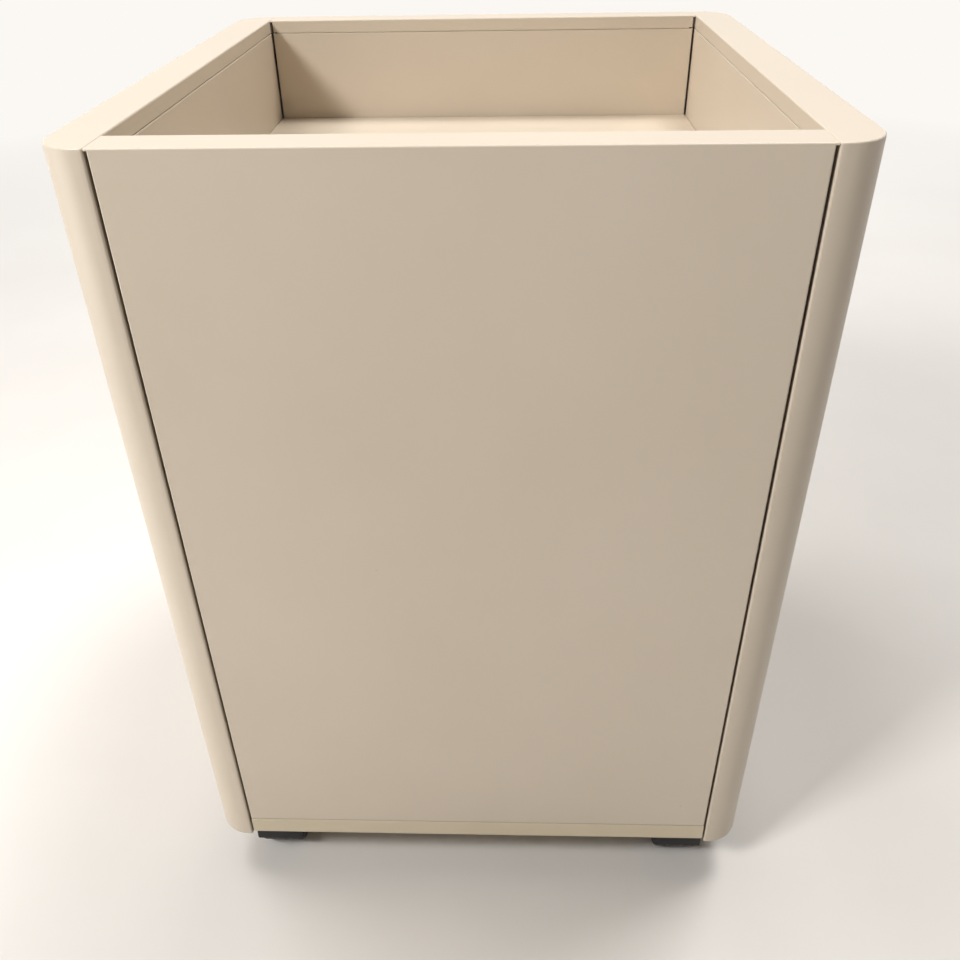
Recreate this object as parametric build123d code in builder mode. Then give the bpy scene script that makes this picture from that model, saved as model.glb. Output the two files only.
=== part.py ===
from build123d import *
import os
from math import cos, radians, sin

# A mobile filing cabinet (pedestal) in painted sheet steel. Two thick, hollow side panels with round
# vertical corners stand either side of everything else. Between them are a rear panel, a header, an
# open tray on top, a box drawer and a file drawer, on a base with four swivelling twin-wheel casters.
# Millimetres. X runs to the right as seen from the drawers, Y to the rear, Z up from the floor.

# Overall size
WIDTH = 402.0
DEPTH = 421.0
HEIGHT = 560.0

# Panels: each is an outer skin folded round a flat inner skin, with a seam all round the inner skin
SIDE_THICK = 27.7
REAR_THICK = 25.0
HEADER_THICK = 22.6
CORNER_R = 24.5  # round outer corner of a side panel, seen from above
INNER_EDGE_R = 1.4  # the side panel's inner vertical edge, beside the shadow gap
TOP_EDGE_R = 1.0
PANEL_EDGE_R = 1.0
OUTER_SHEET = 1.2
INNER_SHEET = 1.0
HEM = 9.1  # height of the folded return below the top edge
HEM_SET = 0.4  # how far that return lies behind the face of the inner skin
SEAM = 0.6  # seam under that return
LEDGE = 8.0  # what the inner skin lies on, behind the seam
SKIN_EDGE_R = 0.6
SIDE_RETURN = 12.0  # width of the side panel's folds at the front and rear of its inner skin
SHADOW_GAP = 1.2  # gap between a side panel and what stands beside it
TOP_JOINT = 0.3  # hairline that is left of this gap at the top, where the uprights' top sheets reach over it
SIDE_BOTTOM = 43.0  # clearance under the side panels
NOTCH = (2.8, 1.6)  # width and height of the bend relief at each end of a hem
STANDOFF_R = 5.0
STANDOFF_INSETS = (15.0, 30.0)  # from the bottom and the top of an upright panel

# Base
SKIRT_BOTTOM = 45.0
SKIRT = 16.5  # height of the skirt that shows at the front and rear
BASE_SHEET = 1.5
BEND_R = 2.0
PANEL_SEAM = 0.6  # seam between the skirt and the rear panel
WEIGHT = (290.0, 16.0, 150.0)  # counterweight's width, thickness and height
WEIGHT_EDGE = 2.0
LIFT_HOLE = (7.0, 5.0, 20.0)  # radius and depth of its lifting sockets, and their drop from its top

# Tray and header
TRAY_DEPTH = 76.0
TRAY_FLANGE = 10.0
TRAY_EDGE_R = 1.5
HEADER = 110.0

# Drawers
FRONT_GAP = 3.0  # gaps above and below the drawer fronts
FRONT_THICK = 20.0
FRONT_EDGE_R = 1.6
BOX_FRONT = 110.0  # height of the box drawer's front
SLIDE_SPACE = 13.0  # between a drawer body and a side panel
BODY_SHEET = 1.0
BODY_LENGTH = 350.0
BODY_FOLD = 6.0  # inward fold along the top of a drawer body's sides
BODY_CORNER_R = 3.0
BODY_SPANS = {"box": (345.0, 425.0), "file": (72.0, 300.0)}  # bottom and top of each body
PULL_WIDTH = 104.0
PULL_HEIGHT = 30.0
PULL_DROP = 32.0  # centre of a pull below the top of its drawer front
PULL_WALL = 1.5
PULL_UNDERCUT = 4.0  # how far the cup reaches past its slot
PULL_RISE = 3.0  # and how much further at the top, where fingers hook in
PULL_CUP_R = 8.0
PENCIL_TRAY = (300.0, 92.0, 24.0)
PENCIL_POCKETS = {-104.0: 84.0, 0.0: 116.0, 104.0: 84.0}  # each pocket's middle in X, and its width
PENCIL_WALL = 4.0
PENCIL_FLOOR = 2.0
PENCIL_CORNER_R = 6.0
HANGING_RAIL = (2.0, 12.0)
HANGING_RAIL_ENDS = (4.0, 8.0)  # from the drawer front, and from the body's rear end

# Telescopic slides: three nested rails on each side of a drawer, with bearing balls between them
SLIDE_SET_BACK = 40.0
SLIDE_LENGTH = 325.0
RAIL_SHEET = 1.2
SLIDE_HEIGHTS = {"box": 380.0, "file": 200.0}
CABINET_RAIL = (0.0, 10.5, 22.75)  # from the side panel to its plate and to its mouth, and half its height
MIDDLE_RAIL = (4.2, 11.2, 18.55)
DRAWER_RAIL = (SLIDE_SPACE, 6.6, 14.35)
RAIL_LIP = 3.0  # inward lips at the cabinet rail's mouth
BALL_R = 1.3
CAGE_START = 100.0
CAGE_LENGTH = 120.0
CAGE_BALLS = 6
CAGE_STRIP = (3.4, 0.7)
OUTER_CAGE = (7.5, 20.05)  # in from the side panel, and up or down from the slide's middle
INNER_CAGE = (9.0, 15.85)
STOP = (10.8, 6.0, 18.0)
STOP_CHAMFER = 1.5
STOP_GAP = 2.0  # between the moving rails and the stops

# Lock, in the header's right-hand end below the tray
LOCK_X = 145.0
LOCK_Z = 462.0
LOCK_R = 8.5
LOCK_TAIL = 2.0  # how far the lock's housing stands out behind the header
PLUG_R = 6.0
PLUG_SET = 0.4  # how far its face lies behind the housing's
KEYWAY = (1.6, 7.2, 16.0)  # width, height and depth
SHANK_R = 3.0
CAM_GAP = 0.3
CAM_R = 5.5
CAM_THROW = 6.36  # a quarter turn of the cam's pin lifts the bar by 9 mm
CAM_SHEET = 2.0
CAM_PIN_R = 2.0
CAM_PIN_LENGTH = 7.5
CATCH_RISE = 36.0  # the drawers' catch pins, above their slides
CATCH_SET_BACK = 33.0
CATCH_R = 3.0
CATCH_LENGTH = 7.0
CATCH_COLLAR = (3.9, 1.5)  # radius and thickness
BAR_SET_BACK = 27.0
BAR_SHEET = 1.5
BAR_OUT = 3.6  # from the side panel to the bar's inner face
BAR_DEPTH = 10.0
BAR_FOOT = 20.0  # how far the bar reaches below the file drawer's catch pin
ARM_SET = 6.3  # from the cam's face to the bar's arm
ARM_REACH = 13.0  # past the lock's axis
ARM_HALF = 4.5  # half its height
ARM_SLOT = (-4.5, 2.7, 2.3)  # from the cam's pin to the slot's left end, right end, and top and bottom
HOOK_DROP = (14.0, 5.0)  # the hooks' bottom and top, below their catch pins
HOOK_OUT = 3.5  # from the drawer body to a hook
GUIDE_HEIGHTS = (265.0, 440.0)
GUIDE_HALF = 6.0  # half a guide's height
GUIDE_WALL = 3.0
GUIDE_GAP = 0.3

# Casters
CASTER_X = 158.0
CASTER_INSET = 50.0  # swivel axis in from the front and rear
TRAIL = 15.0
WHEEL_R = 19.0
WHEEL_WIDTH = 10.7
WHEEL_GAP = 0.8  # between the web and a wheel
WHEEL_OUTER_R = 3.0  # the tread's outer edge
WHEEL_INNER_R = 1.2
WHEEL_DISH = (12.5, 5.0, 1.5, 20.0)  # outer radius, hub radius, depth and taper of the ring in its face
WEB_HALF = 5.5
HOOD_HALF = 18.5
HOOD_R = 21.5
HOOD_DROP = 1.0  # how far the hood reaches below the axle
HOOD_WALL = 1.2
HOOD_EDGE_R = 1.2
WELL_R = 20.0
FENDER_EYE_R = 14.0  # the opening in a fender that bares the wheel's face
NECK_R = 9.0
NECK_FOOT = 3.0  # where the neck starts, above the axle
NECK_GAP = 3.5
NECK_EDGE_R = 1.5
STEM_R = 4.5
STEM_LENGTH = 18.0
STEM_GAP = 1.0  # between the stem's end and the bottom of its bore
AXLE_R = 2.5
AXLE_SHORT = 1.7  # how far the axle stops inside a wheel's outer face
AXLE_CHAMFER = 0.4
AXLE_GAP = 0.3  # between the axle's end and the bottom of a wheel's bore
PLATE = (24.0, 42.0, 2.5)
PLATE_CORNER_R = 3.0

# Brake lever of a front caster, from the foot of its swivel axis
BRAKE_PIVOT = (-28.0, 31.0)  # the lever's pin, in Y and Z
BRAKE_PIN_R = 1.5
BRAKE_PIN_HALF = 5.2
BRAKE_EYE_R = 3.2
BRAKE_HALF = 4.2  # half the width of the lever's arm
BRAKE_ARM = (12.0, 4.0)  # length and thickness
BRAKE_PAD = (22.0, 9.0, 2.5)  # width, length and corner radius
BRAKE_PAD_SET = 14.0  # from the pin to the pad's middle
BRAKE_SLOT = (4.6, 13.0, 6.0, 9.0, 12.0)  # half width, and reach to the front, rear, below and above the pin
RUNNING = 0.05  # clearance all round a shaft in its hole

# Screws
SCREW_R = 1.95
SCREW_HOLE_R = 2.0
SCREW_LENGTH = 8.0
SCREW_HEAD_R = 3.6
SCREW_HEAD = 1.8
SCREW_HEAD_EDGE = 0.9
SCREW_SOCKET = (1.4, 1.0)  # radius and depth
PLATE_SCREW_STEP = 16.0  # a caster plate's two screws, in front of and behind its swivel axis
RAIL_SCREW_STEPS = (30.0, 280.0)  # a cabinet rail's screws, back from its front end

# Worked out from the above
INNER_X = WIDTH / 2 - SIDE_THICK
HEM_X = INNER_X + HEM_SET
PANEL_X = INNER_X - SHADOW_GAP
BODY_HALF = INNER_X - SLIDE_SPACE
FRONT_Y = -DEPTH / 2
REAR_Y = DEPTH / 2
SIDE_HEIGHT = HEIGHT - SIDE_BOTTOM
SIDE_MIDDLE = HEIGHT - SIDE_HEIGHT / 2
SKIRT_TOP = SKIRT_BOTTOM + SKIRT
BASE_UNDER = SKIRT_TOP - BASE_SHEET
REAR_BOTTOM = SKIRT_TOP + PANEL_SEAM
TRAY_FRONT = FRONT_Y + HEADER_THICK
TRAY_REAR = REAR_Y - REAR_THICK
TRAY_Z = HEIGHT - TRAY_DEPTH
HEADER_BOTTOM = HEIGHT - HEADER
BOX_TOP = HEADER_BOTTOM - FRONT_GAP
BOX_BOTTOM = BOX_TOP - BOX_FRONT
FILE_TOP = BOX_BOTTOM - FRONT_GAP
FILE_BOTTOM = SKIRT_TOP + FRONT_GAP
FRONT_SPANS = {"box": (BOX_BOTTOM, BOX_TOP), "file": (FILE_BOTTOM, FILE_TOP)}
BODY_Y = FRONT_Y + FRONT_THICK
SLIDE_Y = FRONT_Y + SLIDE_SET_BACK
AXLE_REACH = WEB_HALF + WHEEL_GAP + WHEEL_WIDTH - AXLE_SHORT
BAR_X = INNER_X - BAR_OUT
BAR_Y = FRONT_Y + BAR_SET_BACK
CATCH_HEIGHTS = {name: height + CATCH_RISE for name, height in SLIDE_HEIGHTS.items()}
SIDES = {"left": -1, "right": 1}


def write(part, name):
    """Labels a finished piece and writes it as a STEP file of its own."""
    part.label = name
    export_step(part, f"parts/{name}.step")


def block(x, y, z, mode=Mode.ADD):
    """A box between two values on each axis, in either order, in the sub-part being built."""
    low, high = zip(sorted(x), sorted(y), sorted(z))
    size = Vector(high) - Vector(low)
    with Locations(Vector(low) + size / 2):
        Box(size.X, size.Y, size.Z, mode=mode)


def bar(radius, start, end, mode=Mode.ADD):
    """A round bar between two points, in the sub-part being built."""
    along = Vector(end) - Vector(start)
    with Locations(Plane(origin=start, z_dir=along).location):
        Cylinder(radius, along.length, align=(Align.CENTER, Align.CENTER, Align.MIN), mode=mode)


os.makedirs("parts", exist_ok=True)

# Side panels, drawn on the right and mirrored for the left

rail_screw_spots = [(SLIDE_Y + step, z) for z in SLIDE_HEIGHTS.values() for step in RAIL_SCREW_STEPS]

with BuildPart() as side_outer_skin:
    with BuildSketch(Plane.XY.offset(SIDE_BOTTOM)) as outline:
        with Locations((HEM_X, 0)):
            Rectangle(WIDTH / 2 - HEM_X, DEPTH, align=(Align.MIN, Align.CENTER))
        fillet(outline.vertices().group_by(Axis.X)[-1], CORNER_R)
        fillet(outline.vertices().group_by(Axis.X)[0], INNER_EDGE_R)
    extrude(amount=SIDE_HEIGHT)
    fillet(side_outer_skin.faces().sort_by(Axis.Z)[-1].edges(), TOP_EDGE_R)
    with BuildSketch(Plane.XY.offset(SIDE_BOTTOM + OUTER_SHEET)) as hollow:
        with Locations((INNER_X + OUTER_SHEET + INNER_SHEET, 0)):
            across = SIDE_THICK - 2 * OUTER_SHEET - INNER_SHEET
            Rectangle(across, DEPTH - 2 * OUTER_SHEET, align=(Align.MIN, Align.CENTER))
        fillet(hollow.vertices().group_by(Axis.X)[-1], CORNER_R - OUTER_SHEET)
    extrude(amount=SIDE_HEIGHT - 2 * OUTER_SHEET, mode=Mode.SUBTRACT)
    with BuildSketch(Plane.YZ.offset(INNER_X)):
        with Locations((0, SIDE_MIDDLE)):
            Rectangle(DEPTH - 2 * SIDE_RETURN, SIDE_HEIGHT - 2 * HEM)
    extrude(amount=INNER_SHEET, mode=Mode.SUBTRACT)
    with BuildSketch(Plane.YZ.offset(INNER_X)):
        with Locations((0, SIDE_MIDDLE)):
            Rectangle(DEPTH - 2 * (SIDE_RETURN + LEDGE), SIDE_HEIGHT - 2 * (HEM + LEDGE))
    extrude(amount=INNER_SHEET + OUTER_SHEET, mode=Mode.SUBTRACT)

with BuildPart() as side_inner_skin:
    with BuildSketch(Plane.YZ.offset(INNER_X)):
        with Locations((0, SIDE_MIDDLE)):
            Rectangle(DEPTH - 2 * SIDE_RETURN - SEAM, SIDE_HEIGHT - 2 * (HEM + SEAM))
        with Locations(rail_screw_spots):
            Circle(SCREW_HOLE_R, mode=Mode.SUBTRACT)
    extrude(amount=INNER_SHEET)
    inner_face = side_inner_skin.faces().sort_by(Axis.X)[0]
    fillet(inner_face.edges().sort_by(Axis.Z)[-1], SKIN_EDGE_R)

for name, part in {"outer": side_outer_skin.part, "inner": side_inner_skin.part}.items():
    write(part, f"right_side_{name}_skin")
    write(part.mirror(Plane.YZ), f"left_side_{name}_skin")


# Rear panel and header, drawn at the rear


def upright_outer_skin(thick, bottom):
    """The outer skin of an upright panel between the sides, open on its inner face."""
    inside = REAR_Y - thick
    with BuildPart() as skin:
        block((-PANEL_X, PANEL_X), (inside + HEM_SET, REAR_Y), (bottom, HEIGHT))
        fillet(skin.edges().filter_by(Axis.Z), PANEL_EDGE_R)
        # The top sheet reaches over the shadow gaps, to the side panels
        top_x = HEM_X - TOP_JOINT
        block((-top_x, top_x), (inside + HEM_SET, REAR_Y), (HEIGHT - OUTER_SHEET, HEIGHT))
        fillet(skin.faces().sort_by(Axis.Z)[-1].edges().filter_by(Axis.X), PANEL_EDGE_R)
        hollow_x = PANEL_X - OUTER_SHEET
        hollow_y = (inside + INNER_SHEET + OUTER_SHEET, REAR_Y - OUTER_SHEET)
        block((-hollow_x, hollow_x), hollow_y, (bottom + OUTER_SHEET, HEIGHT - OUTER_SHEET), Mode.SUBTRACT)
        # The seat of the inner skin, and the window behind it
        low, high = bottom + HEM, HEIGHT - HEM
        block((-INNER_X, INNER_X), (inside, inside + INNER_SHEET), (low, high), Mode.SUBTRACT)
        window_x = PANEL_X - LEDGE
        block((-window_x, window_x), (inside, hollow_y[0]), (low + LEDGE, high - LEDGE), Mode.SUBTRACT)
        for side in SIDES.values():
            # A bend relief at the seam's end, and stand-offs that hold the shadow gap
            notch_x = (side * (PANEL_X - NOTCH[0]), side * INNER_X)
            notch_z = (high - SEAM / 2 - NOTCH[1] / 2, high - SEAM / 2 + NOTCH[1] / 2)
            block(notch_x, (inside, hollow_y[0]), notch_z, Mode.SUBTRACT)
            for height in (bottom + STANDOFF_INSETS[0], HEIGHT - STANDOFF_INSETS[1]):
                middle = (inside + REAR_Y) / 2
                bar(STANDOFF_R, (side * hollow_x, middle, height), (side * INNER_X, middle, height))
    return skin.part


def upright_inner_skin(thick, bottom):
    """The flat inner skin of such a panel. Above the tray floor it is an end wall of the tray."""
    inside = REAR_Y - thick
    with BuildPart() as skin:
        low, high = bottom + HEM + SEAM, HEIGHT - HEM - SEAM
        block((-PANEL_X, PANEL_X), (inside, inside + INNER_SHEET), (low, high))
        fillet(skin.faces().sort_by(Axis.Y)[0].edges(), SKIN_EDGE_R)
    return skin.part


write(upright_outer_skin(REAR_THICK, REAR_BOTTOM), "rear_panel_outer_skin")
write(upright_inner_skin(REAR_THICK, REAR_BOTTOM), "rear_panel_inner_skin")

lock_axis = Plane(origin=(LOCK_X, FRONT_Y, LOCK_Z), z_dir=(0, -1, 0))
for name, upright in {"outer": upright_outer_skin, "inner": upright_inner_skin}.items():
    with BuildPart() as header_skin:
        add(upright(HEADER_THICK, HEADER_BOTTOM).mirror(Plane.XZ))
        with Locations(lock_axis.location):
            Hole(LOCK_R + RUNNING, depth=2 * HEADER_THICK)
    write(header_skin.part, f"header_{name}_skin")

# Tray floor: a shallow pan with its flanges turned down

with BuildPart() as tray_floor:
    block((-INNER_X, INNER_X), (TRAY_FRONT, TRAY_REAR), (TRAY_Z - TRAY_FLANGE, TRAY_Z))
    fillet(tray_floor.faces().sort_by(Axis.Z)[-1].edges(), TRAY_EDGE_R)
    offset(amount=-OUTER_SHEET, openings=tray_floor.faces().sort_by(Axis.Z)[0])
tray_floor.part.label = "tray_floor"
export_step(tray_floor.part, "parts/tray_floor.step")

# Base pan: a plate with a skirt turned down at the front and rear, and a flange at each side

caster_spots = {
    f"{end}_{side}": (sign * CASTER_X, y)
    for end, y in {"front": FRONT_Y + CASTER_INSET, "rear": REAR_Y - CASTER_INSET}.items()
    for side, sign in SIDES.items()
}
plate_screw_spots = [(x, y + s * PLATE_SCREW_STEP) for x, y in caster_spots.values() for s in (-1, 1)]

with BuildPart() as base_pan:
    with BuildSketch(Plane.YZ) as section:
        with Locations((0, SKIRT_TOP - SKIRT / 2)):
            RectangleRounded(DEPTH, SKIRT, BEND_R)
            inner = (DEPTH - 2 * BASE_SHEET, SKIRT - 2 * BASE_SHEET)
            RectangleRounded(*inner, BEND_R - BASE_SHEET, mode=Mode.SUBTRACT)
        with Locations((0, SKIRT_BOTTOM)):
            Rectangle(DEPTH - 2 * LEDGE, 4 * BASE_SHEET, mode=Mode.SUBTRACT)
    extrude(amount=PANEL_X, both=True)
    for side in SIDES.values():
        flange = (side * (INNER_X - BASE_SHEET), side * INNER_X)
        block(flange, (TRAY_FRONT, TRAY_REAR), (SIDE_BOTTOM + HEM, SKIRT_TOP))
    with Locations([(x, y, SKIRT_TOP) for x, y in plate_screw_spots]):
        Hole(SCREW_HOLE_R, depth=2 * BASE_SHEET)
base_pan.part.label = "base_pan"
export_step(base_pan.part, "parts/base_pan.step")

# Counterweight: a cast block at the foot of the rear panel, which keeps an open drawer from tipping it

with BuildPart() as counterweight:
    with Locations((0, TRAY_REAR, SKIRT_TOP)):
        Box(*WEIGHT, align=(Align.CENTER, Align.MAX, Align.MIN))
    chamfer(counterweight.faces().sort_by(Axis.Y)[0].edges(), WEIGHT_EDGE)
    lift_z = SKIRT_TOP + WEIGHT[2] - LIFT_HOLE[2]
    with Locations(Plane(origin=(0, TRAY_REAR - WEIGHT[1], lift_z), z_dir=(0, -1, 0)).location):
        with Locations((-WEIGHT[0] / 3, 0), (WEIGHT[0] / 3, 0)):
            Hole(LIFT_HOLE[0], depth=LIFT_HOLE[1])
counterweight.part.label = "counterweight"
export_step(counterweight.part, "parts/counterweight.step")


# Slides


def rails(section, height, length, lip=0.0, screwed=False):
    """A left and right rail of C section, at a height above the floor."""
    plate, mouth = (INNER_X - in_from_side for in_from_side in section[:2])
    half_height = section[2]
    opening = RAIL_SHEET if mouth > plate else -RAIL_SHEET
    with BuildPart() as pair:
        with BuildSketch(Plane.XZ.offset(-SLIDE_Y)):
            with Locations(((plate + mouth) / 2, height)):
                Rectangle(abs(plate - mouth), 2 * half_height)
            with Locations(((plate + mouth) / 2 + opening, height)):
                Rectangle(abs(plate - mouth), 2 * (half_height - RAIL_SHEET), mode=Mode.SUBTRACT)
            if lip:
                for up in (-1, 1):
                    with Locations((mouth - opening / 2, height + up * (half_height - lip / 2))):
                        Rectangle(RAIL_SHEET, lip)
        extrude(amount=-length)
        if screwed:
            with BuildSketch(Plane.YZ.offset(plate)):
                with Locations([spot for spot in rail_screw_spots if spot[1] == height]):
                    Circle(SCREW_HOLE_R)
            extrude(amount=-RAIL_SHEET, mode=Mode.SUBTRACT)
        mirror(about=Plane.YZ)
    return pair.part


def ball_cages(place, height):
    """Four strips with bearing balls, left and right, above and below, that run between two rails."""
    pitch = CAGE_LENGTH / CAGE_BALLS
    x, rise = INNER_X - place[0], place[1]
    spots = [SLIDE_Y + CAGE_START + pitch * (n + 0.5) for n in range(CAGE_BALLS)]
    with BuildPart() as cages:
        with Locations((x, SLIDE_Y + CAGE_START + CAGE_LENGTH / 2, height + rise)):
            Box(CAGE_STRIP[0], CAGE_LENGTH, CAGE_STRIP[1])
        with Locations([(x, y, height + rise) for y in spots]):
            Cylinder(BALL_R + RUNNING, 2 * CAGE_STRIP[1], mode=Mode.SUBTRACT)
            Sphere(BALL_R)
        mirror(about=Plane.XY.offset(height))
        mirror(about=Plane.YZ)
    return cages.part


for name, height in SLIDE_HEIGHTS.items():
    moving_length = SLIDE_LENGTH - STOP[1] - STOP_GAP
    write(rails(CABINET_RAIL, height, SLIDE_LENGTH, lip=RAIL_LIP, screwed=True), f"{name}_cabinet_rails")
    write(rails(MIDDLE_RAIL, height, moving_length), f"{name}_middle_rails")
    write(rails(DRAWER_RAIL, height, moving_length), f"{name}_drawer_rails")
    write(ball_cages(OUTER_CAGE, height), f"{name}_outer_ball_cages")
    write(ball_cages(INNER_CAGE, height), f"{name}_inner_ball_cages")

with BuildPart() as slide_rear_stops:
    with Locations([(INNER_X - RAIL_SHEET, SLIDE_Y + SLIDE_LENGTH, z) for z in SLIDE_HEIGHTS.values()]):
        Box(*STOP, align=(Align.MAX, Align.MAX, Align.CENTER))
    chamfer(slide_rear_stops.edges().filter_by(Axis.X).group_by(Axis.Y)[0], STOP_CHAMFER)
    mirror(about=Plane.YZ)
slide_rear_stops.part.label = "slide_rear_stops"
export_step(slide_rear_stops.part, "parts/slide_rear_stops.step")

# Pan-head screws: eight hold the cabinet rails, and eight hold the caster plates

with BuildPart() as screw:
    Cylinder(SCREW_R, SCREW_LENGTH, align=(Align.CENTER, Align.CENTER, Align.MIN))
    Cylinder(SCREW_HEAD_R, SCREW_HEAD, align=(Align.CENTER, Align.CENTER, Align.MAX))
    fillet(screw.edges().group_by(Axis.Z)[0], SCREW_HEAD_EDGE)
    with BuildSketch(Plane.XY.offset(-SCREW_HEAD)):
        RegularPolygon(SCREW_SOCKET[0], 6)
    extrude(amount=SCREW_SOCKET[1], mode=Mode.SUBTRACT)

with BuildPart() as pan_head_screws:
    with Locations([(x, y, BASE_UNDER - PLATE[2]) for x, y in plate_screw_spots]):
        add(screw.part)
    for side in SIDES.values():
        for y, z in rail_screw_spots:
            seat = (side * (INNER_X - RAIL_SHEET), y, z)
            with Locations(Plane(origin=seat, z_dir=(side, 0, 0)).location):
                add(screw.part)
pan_head_screws.part.label = "pan_head_screws"
export_step(pan_head_screws.part, "parts/pan_head_screws.step")


# Drawers


def front_skin(bottom, top):
    """The outer skin of a drawer front: a shallow pan with a slot for the finger pull."""
    with BuildPart() as skin:
        block((-PANEL_X, PANEL_X), (FRONT_Y, BODY_Y), (bottom, top))
        fillet(skin.edges().filter_by(Axis.Y) + skin.faces().sort_by(Axis.Y)[0].edges(), FRONT_EDGE_R)
        offset(amount=-OUTER_SHEET, openings=skin.faces().sort_by(Axis.Y)[-1])
        with BuildSketch(Plane.XZ.offset(-FRONT_Y)):
            with Locations((0, top - PULL_DROP)):
                SlotOverall(PULL_WIDTH, PULL_HEIGHT)
        extrude(amount=-OUTER_SHEET, mode=Mode.SUBTRACT)
    return skin.part


def front_liner(bottom, top):
    """The flat sheet that closes the back of a drawer front."""
    half = PANEL_X - OUTER_SHEET
    with BuildPart() as liner:
        block((-half, half), (BODY_Y - INNER_SHEET, BODY_Y), (bottom + OUTER_SHEET, top - OUTER_SHEET))
        fillet(liner.edges().filter_by(Axis.Y), 2 * (FRONT_EDGE_R - OUTER_SHEET))
    return liner.part


def finger_pull(top):
    """A moulded cup behind the slot of a drawer front, undercut so that fingers can hook in."""
    front = Plane.XZ.offset(-FRONT_Y - OUTER_SHEET)
    slot_at = (0, top - PULL_DROP)
    cup_at = (0, top - PULL_DROP + PULL_RISE)
    deep = FRONT_THICK - OUTER_SHEET - INNER_SHEET
    cup = (PULL_WIDTH + 2 * PULL_UNDERCUT, PULL_HEIGHT + 2 * PULL_UNDERCUT)
    with BuildPart() as pull:
        with BuildSketch(front):
            with Locations(cup_at):
                RectangleRounded(cup[0] + 4 * PULL_WALL, cup[1] + 4 * PULL_WALL, PULL_CUP_R + PULL_WALL)
        extrude(amount=-deep)
        with BuildSketch(front):
            with Locations(slot_at):
                SlotOverall(PULL_WIDTH, PULL_HEIGHT)
        extrude(amount=-deep / 2, mode=Mode.SUBTRACT)
        with BuildSketch(front.offset(-PULL_WALL)):
            with Locations(cup_at):
                RectangleRounded(*cup, PULL_CUP_R)
        extrude(amount=-(deep - 2 * PULL_WALL), mode=Mode.SUBTRACT)
    return pull.part


def drawer_body(bottom, top):
    """A folded drawer body, open at the top, with its side walls folded inwards along their tops."""
    with BuildPart() as body:
        block((-BODY_HALF, BODY_HALF), (BODY_Y, BODY_Y + BODY_LENGTH), (bottom, top))
        fillet(body.edges().filter_by(Axis.Z).group_by(Axis.Y)[-1], BODY_CORNER_R)
        offset(amount=-BODY_SHEET, openings=body.faces().sort_by(Axis.Z)[-1])
        for side in SIDES.values():
            fold = (side * (BODY_HALF - BODY_SHEET / 2), side * (BODY_HALF - BODY_SHEET - BODY_FOLD))
            block(fold, (BODY_Y, BODY_Y + BODY_LENGTH - BODY_CORNER_R), (top - BODY_SHEET, top))
    return body.part


def lock_catch(height):
    """The pin on a drawer's right-hand side that the lock bar's hook stands in front of."""
    y = FRONT_Y + CATCH_SET_BACK
    with BuildPart() as catch:
        bar(CATCH_R, (BODY_HALF, y, height), (BODY_HALF + CATCH_LENGTH, y, height))
        bar(CATCH_COLLAR[0], (BODY_HALF, y, height), (BODY_HALF + CATCH_COLLAR[1], y, height))
    return catch.part


for name, span in FRONT_SPANS.items():
    write(front_skin(*span), f"{name}_drawer_front_skin")
    write(front_liner(*span), f"{name}_drawer_front_liner")
    write(finger_pull(span[1]), f"{name}_drawer_pull")
    write(drawer_body(*BODY_SPANS[name]), f"{name}_drawer_body")
    write(lock_catch(CATCH_HEIGHTS[name]), f"{name}_lock_catch")

# Pencil tray: a moulding with three pockets, at the front of the box drawer

with BuildPart() as pencil_tray:
    tray_y = BODY_Y + BODY_SHEET + PENCIL_WALL / 2 + PENCIL_TRAY[1] / 2
    tray_z = BODY_SPANS["box"][0] + BODY_SHEET
    with BuildSketch(Plane.XY.offset(tray_z)):
        with Locations((0, tray_y)):
            RectangleRounded(*PENCIL_TRAY[:2], PENCIL_CORNER_R)
    extrude(amount=PENCIL_TRAY[2])
    with BuildSketch(Plane.XY.offset(tray_z + PENCIL_FLOOR)):
        for x, across in PENCIL_POCKETS.items():
            with Locations((x, tray_y)):
                RectangleRounded(across, PENCIL_TRAY[1] - 2 * PENCIL_WALL, PENCIL_CORNER_R - PENCIL_WALL / 4)
    extrude(amount=PENCIL_TRAY[2], mode=Mode.SUBTRACT)
pencil_tray.part.label = "pencil_tray"
export_step(pencil_tray.part, "parts/pencil_tray.step")

# Hanging-file rails: two upright strips on the file drawer's folds, which the folders' hooks ride on

with BuildPart() as hanging_file_rails:
    with Locations((BODY_HALF - BODY_FOLD, BODY_Y + HANGING_RAIL_ENDS[0], BODY_SPANS["file"][1])):
        rail_length = BODY_LENGTH - sum(HANGING_RAIL_ENDS)
        Box(HANGING_RAIL[0], rail_length, HANGING_RAIL[1], align=(Align.MIN, Align.MIN, Align.MIN))
    fillet(hanging_file_rails.edges().filter_by(Axis.Y).group_by(Axis.Z)[-1], 0.4 * HANGING_RAIL[0])
    mirror(about=Plane.YZ)
hanging_file_rails.part.label = "hanging_file_rails"
export_step(hanging_file_rails.part, "parts/hanging_file_rails.step")

# Lock: a barrel through the header, a turning plug, and a cam whose pin lifts the bar

housing_end = FRONT_Y + HEADER_THICK + LOCK_TAIL
cam_y = housing_end + CAM_GAP

with BuildPart() as lock_housing:
    bar(LOCK_R, (LOCK_X, FRONT_Y, LOCK_Z), (LOCK_X, housing_end, LOCK_Z))
    chamfer(lock_housing.edges().group_by(Axis.Y)[0], PLUG_SET)
    with Locations(lock_axis.location):
        Hole(PLUG_R + RUNNING)
lock_housing.part.label = "lock_housing"
export_step(lock_housing.part, "parts/lock_housing.step")

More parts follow.
